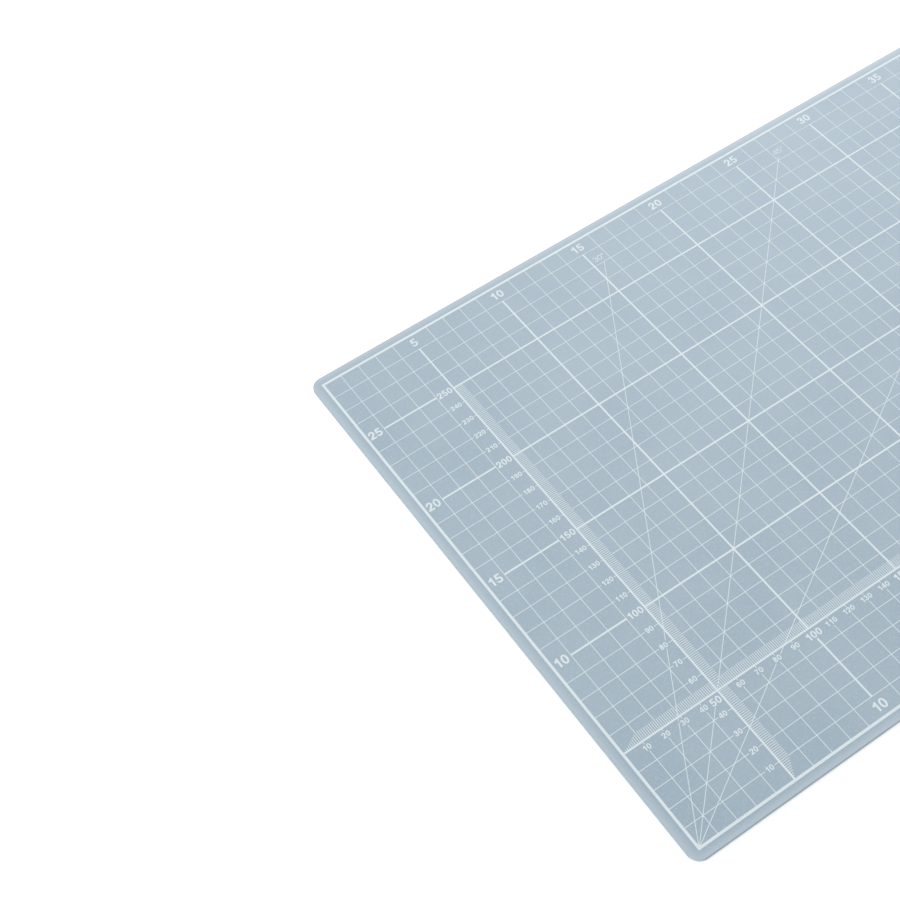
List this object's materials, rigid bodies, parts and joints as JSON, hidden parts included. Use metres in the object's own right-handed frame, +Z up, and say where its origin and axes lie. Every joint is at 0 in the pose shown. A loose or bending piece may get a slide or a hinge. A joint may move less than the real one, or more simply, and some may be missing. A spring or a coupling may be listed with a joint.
{
  "type": "self healing mat",
  "caption": "Flat rounded-corner cutting mat: a pale translucent PVC laminate printed in white with a centimetre grid, millimetre rules and angle lines.",
  "frame": {"origin": "centre of the underside", "axes": "+X along the long side, +Y along the short side away from the user, +Z up through the thickness"},
  "size_m": [0.45, 0.3, 0.002],
  "materials": {
    "soft_pvc": "matte",
    "hard_pvc": "satin",
    "white_ink": "matte"
  },
  "bodies": {
    "root": {"bottom_skin": "soft_pvc", "core_sheet": "hard_pvc", "top_skin": "soft_pvc", "border_line": "white_ink", "five_centimetre_lines": "white_ink", "centimetre_grid": "white_ink", "rule_line_x": "white_ink", "rule_line_y": "white_ink", "rule_millimetres_x": "white_ink", "rule_millimetres_y": "white_ink", "rule_x_tens": "white_ink", "rule_x_fifties": "white_ink", "rule_y_tens": "white_ink", "rule_y_fifties": "white_ink", "rule_corner_fifty": "white_ink", "edge_numbers_top": "white_ink", "edge_numbers_bottom": "white_ink", "edge_numbers_left": "white_ink", "edge_numbers_right": "white_ink", "angle_line_30": "white_ink", "angle_line_45": "white_ink", "angle_line_60": "white_ink", "angle_label_30": "white_ink", "angle_label_45": "white_ink", "angle_label_60": "white_ink"}
  },
  "joints": []
}
